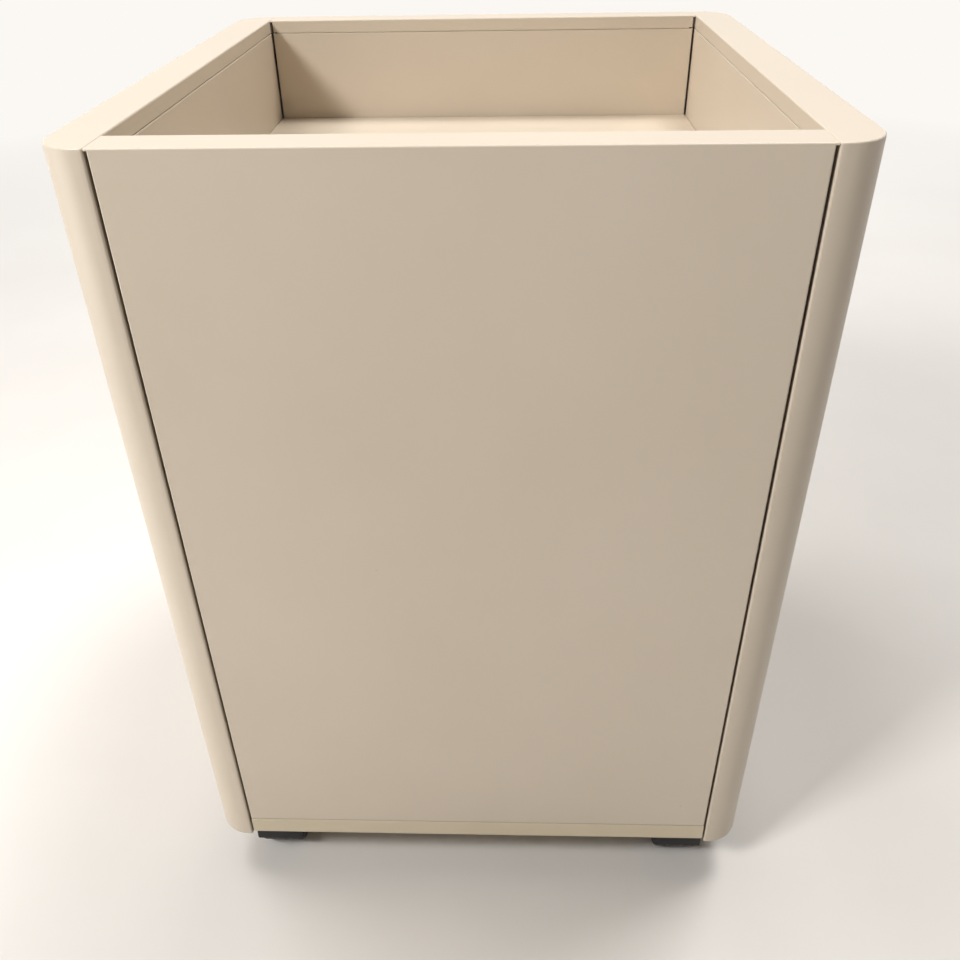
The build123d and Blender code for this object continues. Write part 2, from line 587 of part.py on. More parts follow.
with BuildPart() as lock_plug:
    bar(PLUG_R, (LOCK_X, FRONT_Y + PLUG_SET, LOCK_Z), (LOCK_X, cam_y, LOCK_Z))
    bar(SHANK_R, (LOCK_X, cam_y, LOCK_Z), (LOCK_X, cam_y + CAM_SHEET, LOCK_Z))
    with BuildSketch(Plane.XZ.offset(-FRONT_Y)):
        with Locations((LOCK_X, LOCK_Z)):
            Rectangle(*KEYWAY[:2])
    extrude(amount=-KEYWAY[2], mode=Mode.SUBTRACT)
lock_plug.part.label = "lock_plug"
export_step(lock_plug.part, "parts/lock_plug.step")

# At rest the cam's pin is low on the left, and a quarter turn takes it to the same distance above
pin_drop = CAM_THROW * sin(radians(45))
pin_x = LOCK_X - CAM_THROW * cos(radians(45))
pin_z = LOCK_Z - pin_drop

with BuildPart() as lock_cam:
    with BuildSketch(Plane.XZ.offset(-cam_y)):
        with Locations((LOCK_X, LOCK_Z)):
            Circle(CAM_R)
        with Locations((pin_x, pin_z)):
            Circle(2 * CAM_PIN_R)
        make_hull()
        with Locations((LOCK_X, LOCK_Z)):
            Circle(SHANK_R + RUNNING, mode=Mode.SUBTRACT)
    extrude(amount=-CAM_SHEET)
    bar(CAM_PIN_R, (pin_x, cam_y, pin_z), (pin_x, cam_y + CAM_PIN_LENGTH, pin_z))
lock_cam.part.label = "lock_cam"
export_step(lock_cam.part, "parts/lock_cam.step")

# Lock bar: a strip up the right-hand side with an arm to the cam, and a hook for each drawer. Raised by
# 9 mm, each hook stands in front of its drawer's catch pin.

with BuildPart() as lock_bar:
    edge = BAR_X + BAR_SHEET
    block((BAR_X, edge), (BAR_Y, BAR_Y + BAR_DEPTH), (CATCH_HEIGHTS["file"] - BAR_FOOT, pin_z + ARM_HALF))
    arm_y = cam_y + ARM_SET
    block((LOCK_X - ARM_REACH, edge), (arm_y, arm_y + BAR_SHEET), (pin_z - ARM_HALF, pin_z + ARM_HALF))
    slot_x = (pin_x + ARM_SLOT[0], pin_x + ARM_SLOT[1])
    slot_z = (pin_z - ARM_SLOT[2], pin_z + ARM_SLOT[2])
    block(slot_x, (arm_y, arm_y + BAR_SHEET), slot_z, Mode.SUBTRACT)
    for height in CATCH_HEIGHTS.values():
        hook_z = (height - HOOK_DROP[0], height - HOOK_DROP[1])
        block((BODY_HALF + HOOK_OUT, edge), (BAR_Y, BAR_Y + BAR_SHEET), hook_z)
lock_bar.part.label = "lock_bar"
export_step(lock_bar.part, "parts/lock_bar.step")

with BuildPart() as lock_bar_guides:
    for height in GUIDE_HEIGHTS:
        guide_z = (height - GUIDE_HALF, height + GUIDE_HALF)
        guide_y = (BAR_Y - GUIDE_WALL, BAR_Y + BAR_DEPTH + GUIDE_WALL)
        block((BAR_X - 4 * GUIDE_GAP, INNER_X), guide_y, guide_z)
        channel_x = (BAR_X - GUIDE_GAP, BAR_X + BAR_SHEET + GUIDE_GAP)
        channel_y = (BAR_Y - GUIDE_GAP, BAR_Y + BAR_DEPTH + GUIDE_GAP)
        block(channel_x, channel_y, guide_z, Mode.SUBTRACT)
lock_bar_guides.part.label = "lock_bar_guides"
export_step(lock_bar_guides.part, "parts/lock_bar_guides.step")

# Caster mounts: a plate under the base at each corner, with the stem that the caster swivels on

with BuildPart() as caster_mounts:
    with BuildSketch(Plane.XY.offset(BASE_UNDER)):
        with Locations([Location((x, y, 0)) for x, y in caster_spots.values()]):
            RectangleRounded(*PLATE[:2], PLATE_CORNER_R)
        with Locations(plate_screw_spots):
            Circle(SCREW_HOLE_R, mode=Mode.SUBTRACT)
    extrude(amount=-PLATE[2])
    with Locations([(x, y, BASE_UNDER) for x, y in caster_spots.values()]):
        Cylinder(STEM_R, STEM_LENGTH, align=(Align.CENTER, Align.CENTER, Align.MAX))
caster_mounts.part.label = "caster_mounts"
export_step(caster_mounts.part, "parts/caster_mounts.step")


# Casters, drawn with the swivel axis at the origin and the wheels trailing to the front


def caster_hood(braked):
    """A hood with a neck on the stem, a middle web for the axle, and a fender over each wheel."""
    neck_top = BASE_UNDER - NECK_GAP
    pivot_y, pivot_z = BRAKE_PIVOT
    with BuildPart() as hood:
        with BuildSketch(Plane.YZ):
            with Locations((-TRAIL, WHEEL_R)):
                Circle(HOOD_R)
            with Locations((-TRAIL, WHEEL_R - HOOD_DROP)):
                Rectangle(3 * HOOD_R, 2 * HOOD_R, align=(Align.CENTER, Align.MAX), mode=Mode.SUBTRACT)
        extrude(amount=HOOD_HALF, both=True)
        fillet(hood.faces().filter_by(Axis.X).edges(), HOOD_EDGE_R)
        bar(NECK_R, (0, 0, WHEEL_R + NECK_FOOT), (0, 0, neck_top))
        fillet(hood.faces().sort_by(Axis.Z)[-1].edges(), NECK_EDGE_R)
        for side in SIDES.values():
            # A wheel well, and the round opening in the fender that bares the wheel's face
            well = side * WEB_HALF, side * (HOOD_HALF - HOOD_WALL), side * (HOOD_HALF + HOOD_WALL)
            bar(WELL_R, (well[0], -TRAIL, WHEEL_R), (well[1], -TRAIL, WHEEL_R), Mode.SUBTRACT)
            bar(FENDER_EYE_R, (well[1], -TRAIL, WHEEL_R), (well[2], -TRAIL, WHEEL_R), Mode.SUBTRACT)
        bore_bottom = BASE_UNDER - STEM_LENGTH - STEM_GAP
        bar(STEM_R + RUNNING, (0, 0, bore_bottom), (0, 0, neck_top), Mode.SUBTRACT)
        axle = AXLE_R + RUNNING
        bar(axle, (-WEB_HALF, -TRAIL, WHEEL_R), (WEB_HALF, -TRAIL, WHEEL_R), Mode.SUBTRACT)
        if braked:
            half, ahead, behind, below, above = BRAKE_SLOT
            slot_y = (pivot_y - ahead, pivot_y + behind)
            block((-half, half), slot_y, (pivot_z - below, pivot_z + above), Mode.SUBTRACT)
            pin = BRAKE_PIN_R + RUNNING
            bar(pin, (-WEB_HALF, pivot_y, pivot_z), (WEB_HALF, pivot_y, pivot_z), Mode.SUBTRACT)
    return hood.part


with BuildPart() as caster_axle:
    bar(AXLE_R, (-AXLE_REACH, -TRAIL, WHEEL_R), (AXLE_REACH, -TRAIL, WHEEL_R))
    chamfer(caster_axle.edges().filter_by(GeomType.CIRCLE), AXLE_CHAMFER)

with BuildPart() as caster_wheel:
    wheel_in = WEB_HALF + WHEEL_GAP
    wheel_out = wheel_in + WHEEL_WIDTH
    bar(WHEEL_R, (wheel_in, -TRAIL, WHEEL_R), (wheel_out, -TRAIL, WHEEL_R))
    fillet(caster_wheel.edges().group_by(Axis.X)[-1], WHEEL_OUTER_R)
    fillet(caster_wheel.edges().group_by(Axis.X)[0], WHEEL_INNER_R)
    with BuildSketch(Plane(origin=(wheel_out, -TRAIL, WHEEL_R), z_dir=(1, 0, 0))):
        Circle(WHEEL_DISH[0])
        Circle(WHEEL_DISH[1], mode=Mode.SUBTRACT)
    extrude(amount=-WHEEL_DISH[2], taper=WHEEL_DISH[3], mode=Mode.SUBTRACT)
    bore_end = AXLE_REACH + AXLE_GAP
    bar(AXLE_R + RUNNING, (wheel_in, -TRAIL, WHEEL_R), (bore_end, -TRAIL, WHEEL_R), Mode.SUBTRACT)

with BuildPart() as brake_lever:
    pivot_y, pivot_z = BRAKE_PIVOT
    arm_length, arm_thick = BRAKE_ARM
    bar(BRAKE_EYE_R, (-BRAKE_HALF, pivot_y, pivot_z), (BRAKE_HALF, pivot_y, pivot_z))
    arm_z = (pivot_z - arm_thick / 2, pivot_z + arm_thick / 2)
    block((-BRAKE_HALF, BRAKE_HALF), (pivot_y - arm_length, pivot_y), arm_z)
    with BuildSketch(Plane.XY.offset(arm_z[0])):
        with Locations((0, pivot_y - BRAKE_PAD_SET)):
            RectangleRounded(*BRAKE_PAD)
    extrude(amount=arm_thick)
    bar(BRAKE_PIN_R, (-BRAKE_PIN_HALF, pivot_y, pivot_z), (BRAKE_PIN_HALF, pivot_y, pivot_z))

# The rear casters stand turned round, so that the wheels at each end trail outwards
front_pieces = {
    "caster_hood": caster_hood(True),
    "caster_axle": caster_axle.part,
    "brake_lever": brake_lever.part,
}
rear_pieces = {
    "caster_hood": caster_hood(False).mirror(Plane.XZ),
    "caster_axle": caster_axle.part.mirror(Plane.XZ),
}
pieces = {"front": front_pieces, "rear": rear_pieces}
wheels = {"left": caster_wheel.part.mirror(Plane.YZ), "right": caster_wheel.part}
for corner, (x, y) in caster_spots.items():
    end = corner.split("_")[0]
    swivel = Location((x, y, 0))
    for name, piece in pieces[end].items():
        write(piece.moved(swivel), f"{name}_{corner}")
    for side, wheel in wheels.items():
        stands = wheel if end == "front" else wheel.mirror(Plane.XZ)
        write(stands.moved(swivel), f"caster_wheel_{corner}_{side}")
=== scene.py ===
"""Dresses a mobile filing cabinet in powder-coated steel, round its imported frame.

The cabinet stands on its casters with +Z up. Its drawers open towards -Y, and the camera sees its plain
rear from above. Lengths are in metres unless a name ends in _mm.
"""

import logging
import math
from dataclasses import dataclass
from enum import Enum

import bmesh
import bpy
from mathutils import Matrix, Vector


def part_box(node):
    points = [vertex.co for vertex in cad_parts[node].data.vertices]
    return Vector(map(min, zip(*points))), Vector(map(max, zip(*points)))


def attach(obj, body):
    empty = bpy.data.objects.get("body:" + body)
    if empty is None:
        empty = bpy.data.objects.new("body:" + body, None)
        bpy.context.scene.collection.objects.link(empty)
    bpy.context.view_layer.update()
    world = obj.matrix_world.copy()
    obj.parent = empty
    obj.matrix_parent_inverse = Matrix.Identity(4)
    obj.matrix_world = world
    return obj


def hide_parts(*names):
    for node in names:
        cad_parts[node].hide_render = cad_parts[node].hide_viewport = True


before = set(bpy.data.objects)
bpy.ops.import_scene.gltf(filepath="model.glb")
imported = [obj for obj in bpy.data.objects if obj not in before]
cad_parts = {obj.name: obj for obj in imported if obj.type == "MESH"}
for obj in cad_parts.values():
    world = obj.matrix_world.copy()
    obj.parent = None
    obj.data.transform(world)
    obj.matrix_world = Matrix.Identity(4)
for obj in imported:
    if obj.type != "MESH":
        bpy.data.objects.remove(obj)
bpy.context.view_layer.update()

logging.basicConfig(level=logging.INFO, format="%(message)s")
log = logging.getLogger("cabinet")

MM = 0.001
WELD_MM = 0.01
CREASE = math.radians(38)
UP = Vector((0, 0, 1))
# From the drawers' fronts into the cabinet.
INWARDS = Vector((0, 1, 0))

# The values of a noise texture lie mostly between these two.
NOISE_LOW, NOISE_HIGH = 0.3, 0.7
# A Mix node's sockets for colours, which share their names with its sockets for numbers.
MIX_FACTOR, MIX_FIRST, MIX_SECOND, MIX_RESULT = 0, 6, 7, 2
# Polyester, nylon, ABS and rubber all bend light about this much.
RESIN_IOR = 1.5

Socket = bpy.types.NodeSocket
Colour = tuple[float, float, float, float]


class Hand(Enum):
    """A side of the cabinet as seen from the drawers, with the sign of its X."""

    LEFT = -1
    RIGHT = 1


class End(Enum):
    """An end of the cabinet, with the sign of its Y. The drawers open at the front."""

    FRONT = -1
    REAR = 1


class Drawer(Enum):
    """A drawer, by the word that its pieces' names start with."""

    BOX = "box"
    FILE = "file"


# How high the middle of each drawer's pull slot and of its slides stands.
SLOT_Z_MM = {Drawer.BOX: 415.0, Drawer.FILE: 302.0}
SLIDE_Z_MM = {Drawer.BOX: 380.0, Drawer.FILE: 200.0}


# Finishes


def linear(hex_colour: str) -> Colour:
    """Turns an sRGB hex colour into the linear one that shaders take.

    Args:
        hex_colour: six hex digits, such as "d9cbb6".

    Returns:
        Red, green, blue and an alpha of 1.
    """
    channels = [int(hex_colour[i : i + 2], 16) / 255 for i in (0, 2, 4)]
    return (*(c / 12.92 if c <= 0.04045 else ((c + 0.055) / 1.055) ** 2.4 for c in channels), 1.0)


def grey(level: float) -> Colour:
    """A neutral colour of one level in every channel."""
    return (level, level, level, 1.0)


def per_metre(cell_mm: float) -> float:
    """A texture's scale, which is how many of its cells fit in a metre."""
    return 1000 / cell_mm


def uneven(middle: float, give: tuple[float, float]) -> dict[float, Colour]:
    """A ramp's stops for a value that a noise takes a little below and above its middle."""
    less, more = give
    return {NOISE_LOW: grey(middle - less), NOISE_HIGH: grey(middle + more)}


def add_node(
    tree: bpy.types.NodeTree,
    kind: str,
    settings: dict | None = None,
    links: dict | None = None,
    stops: dict[float, Colour] | None = None,
) -> bpy.types.Node:
    """Adds a shader node with its settings and what feeds it.

    Args:
        tree: the node tree.
        kind: the node's Blender type.
        settings: values by name; a name that isn't a property of the node is one of its input sockets.
        links: output sockets by the name or number of the input that each one feeds.
        stops: the two colours of a colour ramp by their positions, the lower one first.

    Returns:
        The new node.
    """
    node = tree.nodes.new(kind)
    for name, value in (settings or {}).items():
        if isinstance(name, str) and hasattr(node, name):
            setattr(node, name, value)
        else:
            node.inputs[name].default_value = value
    for name, socket in (links or {}).items():
        tree.links.new(socket, node.inputs[name])
    if stops:
        for element, (position, colour) in zip(node.color_ramp.elements, stops.items()):
            element.position = position
            element.color = colour
    return node


def where(tree: bpy.types.NodeTree, tests: list[tuple[Socket, str, float]]) -> Socket:
    """Masks the places where every test holds.

    Args:
        tree: the material's node tree.
        tests: for each one, a measure in metres, how it compares, and the limit in millimetres.

    Returns:
        A socket that is 1 in those places and 0 elsewhere.
    """
    mask = None
    for measure, compared, limit_mm in tests:
        settings = {"operation": compared, 1: limit_mm * MM}
        held = add_node(tree, "ShaderNodeMath", settings, {0: measure}).outputs[0]
        if mask is None:
            mask = held
        else:
            links = {0: mask, 1: held}
            mask = add_node(tree, "ShaderNodeMath", {"operation": "MULTIPLY"}, links).outputs[0]
    return mask


class Finish:
    """A surface finish that makes its own material once."""

    name: str

    def shade(self, tree: bpy.types.NodeTree, place: Socket) -> dict[str, dict]:
        """Builds the nodes that feed the surface shader.

        Args:
            tree: the material's node tree.
            place: the Object coordinates.

        Returns:
            The surface shader's settings and links, under those two names.
        """
        raise NotImplementedError

    def material(self) -> bpy.types.Material:
        """The finish's material, made the first time that it is asked for."""
        made = bpy.data.materials.get(self.name)
        if made:
            return made
        made = bpy.data.materials.new(self.name)
        made.use_nodes = True
        tree = made.node_tree
        tree.nodes.clear()
        place = add_node(tree, "ShaderNodeTexCoord").outputs["Object"]
        surface = self.shade(tree, place)
        shader = add_node(tree, "ShaderNodeBsdfPrincipled", surface["settings"], surface["links"])
        add_node(tree, "ShaderNodeOutputMaterial", links={"Surface": shader.outputs["BSDF"]})
        return made


@dataclass(frozen=True)
class PowderCoat(Finish):
    """Polyester powder coat, sprayed and baked on steel.

    The eye gets a satin surface with a faint orange peel, slow drifts of tone where the film is thicker,
    and here and there a nib of dust that was baked in. The peel's cells are about a millimetre across, as
    real ones are.
    """

    name: str
    colour: str
    deeper: str
    peel_mm: float = 1.1
    peel_deep_mm: float = 0.05
    peel_strength: float = 0.08
    drift_mm: float = 160.0
    roughness: float = 0.4
    roughness_give: tuple[float, float] = (0.03, 0.03)
    nib_mm: float = 0.45
    nib_apart_mm: float = 46.0
    nib_level: float = 0.45

    def coat(self, tree: bpy.types.NodeTree, place: Socket, drift: Socket) -> Socket:
        """The colour of the film, with its drifts and nibs.

        Args:
            tree: the material's node tree.
            place: the Object coordinates.
            drift: the slow noise that the tone follows.

        Returns:
            A colour socket.
        """
        stops = {NOISE_LOW: linear(self.deeper), NOISE_HIGH: linear(self.colour)}
        film = add_node(tree, "ShaderNodeValToRGB", links={"Fac": drift}, stops=stops).outputs["Color"]
        settings = {"Scale": per_metre(self.nib_apart_mm)}
        nibs = add_node(tree, "ShaderNodeTexVoronoi", settings, {"Vector": place}).outputs["Distance"]
        reach = self.nib_mm / self.nib_apart_mm
        stops = {reach / 2: grey(self.nib_level), reach: grey(1.0)}
        clean = add_node(tree, "ShaderNodeValToRGB", links={"Fac": nibs}, stops=stops).outputs["Color"]
        settings = {"data_type": "RGBA", "blend_type": "MULTIPLY", MIX_FACTOR: 1.0}
        links = {MIX_FIRST: film, MIX_SECOND: clean}
        return add_node(tree, "ShaderNodeMix", settings, links).outputs[MIX_RESULT]

    def shade(self, tree: bpy.types.NodeTree, place: Socket) -> dict[str, dict]:
        """The film's colour, its peel as bump, and a roughness that follows the drifts."""
        settings = {"Scale": per_metre(self.drift_mm), "Detail": 3.0, "Roughness": 0.5}
        drift = add_node(tree, "ShaderNodeTexNoise", settings, {"Vector": place}).outputs["Fac"]
        settings = {"Scale": per_metre(self.peel_mm), "Detail": 2.0}
        peel = add_node(tree, "ShaderNodeTexNoise", settings, {"Vector": place}).outputs["Fac"]
        settings = {"Strength": self.peel_strength, "Distance": self.peel_deep_mm * MM}
        bump = add_node(tree, "ShaderNodeBump", settings, {"Height": peel}).outputs["Normal"]
        stops = uneven(self.roughness, self.roughness_give)
        rough = add_node(tree, "ShaderNodeValToRGB", links={"Fac": drift}, stops=stops).outputs["Color"]
        colour = self.coat(tree, place, drift)
        return {
            "settings": {"IOR": RESIN_IOR},
            "links": {"Base Color": colour, "Roughness": rough, "Normal": bump},
        }


@dataclass(frozen=True)
class CasingCoat(PowderCoat):
    """The same coat on the casing, with painted shade in its narrow gaps and in one seam.

    Inside the gaps beside the upright panels, fading out over their rounded edges, and in the seam above
    the base's skirt, a dark brown is painted as shade, so that both read as fine dark lines. One real chip
    on a rear edge shows the same dark brown as bare primer.
    """

    # A dark brown: painted shade in the gaps and the seam, and bare primer in the chip.
    gap_shade_and_chip: str = "33200f"
    gap_x_mm: float = 172.9
    gap_half_mm: tuple[float, float] = (0.6, 0.95)
    gap_from_y_mm: float = 186.5
    gap_top_mm: float = 558.8
    seam_z_mm: float = 61.8
    seam_half_mm: float = 0.42
    seam_from_y_mm: float = 200.0
    chip_mm: tuple[float, float, float] = (-193.5, 208.0, 463.0)
    chip_half_mm: float = 0.9

    def coat(self, tree: bpy.types.NodeTree, place: Socket, drift: Socket) -> Socket:
        """The film's colour, with painted shade in the gaps and the seam, and bare primer in the chip."""
        apart = add_node(tree, "ShaderNodeSeparateXYZ", links={"Vector": place}).outputs
        across, along = (
            add_node(tree, "ShaderNodeMath", {"operation": "ABSOLUTE"}, {0: apart[axis]}).outputs[0]
            for axis in ("X", "Y")
        )
        height = apart["Z"]
        upright = [(along, "GREATER_THAN", self.gap_from_y_mm), (height, "LESS_THAN", self.gap_top_mm)]
        settings = {"operation": "SUBTRACT", 1: self.gap_x_mm * MM}
        past_gap = add_node(tree, "ShaderNodeMath", settings, {0: across}).outputs[0]
        off_gap = add_node(tree, "ShaderNodeMath", {"operation": "ABSOLUTE"}, {0: past_gap}).outputs[0]
        near, far = (half * MM for half in self.gap_half_mm)
        settings = {"From Min": near, "From Max": far, "To Max": 0.0}
        links = {"Value": off_gap, "To Min": where(tree, upright)}
        gap = add_node(tree, "ShaderNodeMapRange", settings, links).outputs["Result"]
        seam = [
            (height, "GREATER_THAN", self.seam_z_mm - self.seam_half_mm),
            (height, "LESS_THAN", self.seam_z_mm + self.seam_half_mm),
            (along, "GREATER_THAN", self.seam_from_y_mm),
            (across, "LESS_THAN", self.gap_x_mm),
        ]
        settings = {"operation": "DISTANCE", 1: [c * MM for c in self.chip_mm]}
        off_chip = add_node(tree, "ShaderNodeVectorMath", settings, {0: place}).outputs["Value"]
        chip = [(off_chip, "LESS_THAN", self.chip_half_mm)]
        colour = super().coat(tree, place, drift)
        # The gap and seam masks lay painted shade; the chip mask shows a real chip's primer.
        for bare in (gap, where(tree, seam), where(tree, chip)):
            settings = {"data_type": "RGBA", MIX_SECOND: linear(self.gap_shade_and_chip)}
            links = {MIX_FACTOR: bare, MIX_FIRST: colour}
            colour = add_node(tree, "ShaderNodeMix", settings, links).outputs[MIX_RESULT]
        return colour


@dataclass(frozen=True)
class Moulding(Finish):
    """Moulded plastic or rubber.

    The eye gets an even colour under the fine matt grain of a spark-eroded mould, with lighter scuffs. The
    real grain is finer than this one, and wouldn't show.
    """

    name: str
    colour: str
    worn: str
    grain_mm: float = 0.5
    grain_deep_mm: float = 0.05
    grain_strength: float = 0.25
    scuff_mm: float = 16.0
    scuff_span: tuple[float, float] = (0.45, 0.75)
    roughness: float = 0.5
    roughness_give: tuple[float, float] = (0.06, 0.06)

    def shade(self, tree: bpy.types.NodeTree, place: Socket) -> dict[str, dict]:
        """A fine grain, with lighter scuffs in broad patches."""
        settings = {"Scale": per_metre(self.grain_mm), "Detail": 3.0}
        grain = add_node(tree, "ShaderNodeTexNoise", settings, {"Vector": place}).outputs["Fac"]
        settings = {"Scale": per_metre(self.scuff_mm), "Detail": 5.0}
        scuffs = add_node(tree, "ShaderNodeTexNoise", settings, {"Vector": place}).outputs["Fac"]
        stops = dict(zip(self.scuff_span, (linear(self.colour), linear(self.worn))))
        colour = add_node(tree, "ShaderNodeValToRGB", links={"Fac": scuffs}, stops=stops).outputs["Color"]
        settings = {"Strength": self.grain_strength, "Distance": self.grain_deep_mm * MM}
        bump = add_node(tree, "ShaderNodeBump", settings, {"Height": grain}).outputs["Normal"]
        stops = uneven(self.roughness, self.roughness_give)
        rough = add_node(tree, "ShaderNodeValToRGB", links={"Fac": grain}, stops=stops).outputs["Color"]
        return {
            "settings": {"IOR": RESIN_IOR},
            "links": {"Base Color": colour, "Roughness": rough, "Normal": bump},
        }


@dataclass(frozen=True)
class BrightMetal(Finish):
    """Metal with a bright face: steel plated as it comes from the rolling mill, polished steel, or chrome.

    The eye gets fine rolling or polishing lines, and a cloudy tint where the face is uneven. Real lines
    are finer than these, and wouldn't show.
    """

    name: str
    colour: str
    cloud: str
    line_mm: float = 0.4
    line_deep_mm: float = 0.02
    line_strength: float = 0.15
    drawn_out: float = 50.0
    cloud_mm: float = 25.0
    cloud_span: tuple[float, float] = (0.35, 0.65)
    roughness: float = 0.3
    roughness_give: tuple[float, float] = (0.08, 0.1)

    def shade(self, tree: bpy.types.NodeTree, place: Socket) -> dict[str, dict]:
        """Lines drawn out along Y, over a cloudy tint."""
        settings = {"Scale": (1.0, 1 / self.drawn_out, 1.0)}
        drawn = add_node(tree, "ShaderNodeMapping", settings, {"Vector": place}).outputs["Vector"]
        settings = {"Scale": per_metre(self.line_mm), "Detail": 2.0}
        lines = add_node(tree, "ShaderNodeTexNoise", settings, {"Vector": drawn}).outputs["Fac"]
        settings = {"Scale": per_metre(self.cloud_mm), "Detail": 4.0}
        clouds = add_node(tree, "ShaderNodeTexNoise", settings, {"Vector": place}).outputs["Fac"]
        stops = dict(zip(self.cloud_span, (linear(self.cloud), linear(self.colour))))
        colour = add_node(tree, "ShaderNodeValToRGB", links={"Fac": clouds}, stops=stops).outputs["Color"]
        stops = uneven(self.roughness, self.roughness_give)
        rough = add_node(tree, "ShaderNodeValToRGB", links={"Fac": lines}, stops=stops).outputs["Color"]
        settings = {"Strength": self.line_strength, "Distance": self.line_deep_mm * MM}
        bump = add_node(tree, "ShaderNodeBump", settings, {"Height": lines}).outputs["Normal"]
        return {
            "settings": {"Metallic": 1.0},
            "links": {"Base Color": colour, "Roughness": rough, "Normal": bump},
        }


@dataclass(frozen=True)
class SandCasting(Finish):
    """Grey iron, sand cast and primed.

    The eye gets a coarse grainy skin with darker pits.
    """

    name: str
    colour: str
    pit: str
    grain_mm: float = 1.6
    grain_deep_mm: float = 0.3
    grain_strength: float = 0.5
    pit_span: tuple[float, float] = (0.2, 0.9)
    roughness: float = 0.75

    def shade(self, tree: bpy.types.NodeTree, place: Socket) -> dict[str, dict]:
        """Grains with pits between them."""
        settings = {"Scale": per_metre(self.grain_mm)}
        grains = add_node(tree, "ShaderNodeTexVoronoi", settings, {"Vector": place}).outputs["Distance"]
        stops = dict(zip(self.pit_span, (linear(self.colour), linear(self.pit))))
        colour = add_node(tree, "ShaderNodeValToRGB", links={"Fac": grains}, stops=stops).outputs["Color"]
        settings = {"Strength": self.grain_strength, "Distance": self.grain_deep_mm * MM}
        bump = add_node(tree, "ShaderNodeBump", settings, {"Height": grains}).outputs["Normal"]
        return {
            "settings": {"Roughness": self.roughness},
            "links": {"Base Color": colour, "Normal": bump},
        }


# Satin beige, with painted shade as fine dark lines in the gaps where the panels meet.
CASING = CasingCoat("beige_powder_coat", "d6c8b5", "d1c3af")
# A slightly yellower beige, a painted tint for the warm light that the strip under the rear panel takes
# from the floor, which sets the strip off from the panel. Painted shade darkens the seam above its skirt.
BASE = CasingCoat("base_powder_coat", "d5c7ad", "d0c1a6")
# The casing's satin beige, without the painted shade in the gaps.
FRONTS = PowderCoat("drawer_front_powder_coat", "d6c8b5", "d1c3af")
# A duller and slightly darker beige inside the drawers.
BODIES = PowderCoat("drawer_body_powder_coat", "cfc0ab", "c9baa4", roughness=0.48)
# A matt beige, darker than the front round it: its darker tone is painted shade, so that the slot reads as
# a hollow.
PULL = Moulding("beige_abs_pull", "bfb09b", "c6b8a4")
# A near black with a low sheen.
PENCILS = Moulding("black_polystyrene_tray", "1d1d1f", "2a2a2c", roughness=0.42)
# Dull black nylon, darkened to the deepest black as painted shade, so that the casters recede under the
# cabinet.
HOOD = Moulding("black_nylon_hood", "0e0e0f", "18181a", roughness=0.5)
# A black with enough sheen for the spokes to catch the light.
WHEEL = Moulding("black_nylon_wheel", "171718", "232326", roughness=0.36)
# A dark grey without sheen, which sets the tread off from the wheel.
TREAD = Moulding("grey_polyurethane_tread", "2c2c2e", "3a3a3c", grain_mm=0.8, scuff_mm=9.0, roughness=0.62)
# A flat black.
BUFFER = Moulding("black_rubber_buffer", "161616", "202020", grain_mm=0.8, roughness=0.7)
# A milky white with a soft sheen.
NATURAL = Moulding("natural_acetal_guide", "dcd9d0", "e4e1da", roughness=0.38)
# A cool grey with lines along the rails.
ZINC = BrightMetal("zinc_plated_steel", "bfc2c6", "adb1b6")
# A bright, nearly mirrored grey.
BALLS = BrightMetal("polished_ball_steel", "c8cacc", "babcbf", roughness=0.16)
# A bright neutral grey, with hardly a direction in its polish.
CHROME = BrightMetal("chromed_zinc_lock", "c4c5c6", "b8babb", line_mm=0.8, drawn_out=4.0, roughness=0.16)
# A rough dark grey.
IRON = SandCasting("primed_cast_iron", "4a4a4c", "2c2c2e")


# Making pieces


def dress(finish: Finish, *names: str, round_mm: float = 0.0, round_steps: int = 3) -> None:
    """Gives CAD nodes their finish, and rounds their sharp edges where a mould or a casting rounds them.

    Args:
        finish: the finish.
        names: the nodes' names.
        round_mm: the edges' radius, or 0 to leave them.
        round_steps: how many faces take a rounded edge round.
    """
    for name in names:
        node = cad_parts[name]
        node.data.materials.clear()
        node.data.materials.append(finish.material())
        if round_mm:
            weld = node.modifiers.new("weld", "WELD")
            weld.merge_threshold = WELD_MM * MM
            soften = node.modifiers.new("rounded_edges", "BEVEL")
            soften.width = round_mm * MM
            soften.segments = round_steps
            soften.limit_method = "ANGLE"
            soften.angle_limit = CREASE
            soften.harden_normals = True
        log.info("%s: %s", name, finish.name)


def close(shape: bmesh.types.BMesh) -> None:
    """Merges doubled points and turns the faces outwards."""
    bmesh.ops.remove_doubles(shape, verts=shape.verts[:], dist=WELD_MM * MM)
    bmesh.ops.recalc_face_normals(shape, faces=shape.faces[:])


def spun(
    section_mm: list[tuple[float, float]], centre: Vector, axis: Vector, closed: bool, steps: int = 64
) -> bmesh.types.BMesh:
    """Spins a section a full turn round a level axis.

    Args:
        section_mm: points as (distance along the axis from the centre, radius), in order.
        centre: a point on the axis.
        axis: the axis, a level unit vector.
        closed: whether the last point joins the first; if not, both lie on the axis.
        steps: how many steps the turn takes.

    Returns:
        The turned shape, closed and merged, with its faces outwards.
    """
    shape = bmesh.new()
    points = [
        shape.verts.new(centre + axis * along * MM + UP * radius * MM) for along, radius in section_mm
    ]
    ahead = points[1:] + points[:1] if closed else points[1:]
    lines = [shape.edges.new(pair) for pair in zip(points, ahead)]
    bmesh.ops.spin(
        shape, geom=points + lines, cent=centre, axis=axis, angle=math.tau, steps=steps, use_merge=True
    )
    close(shape)
    return shape


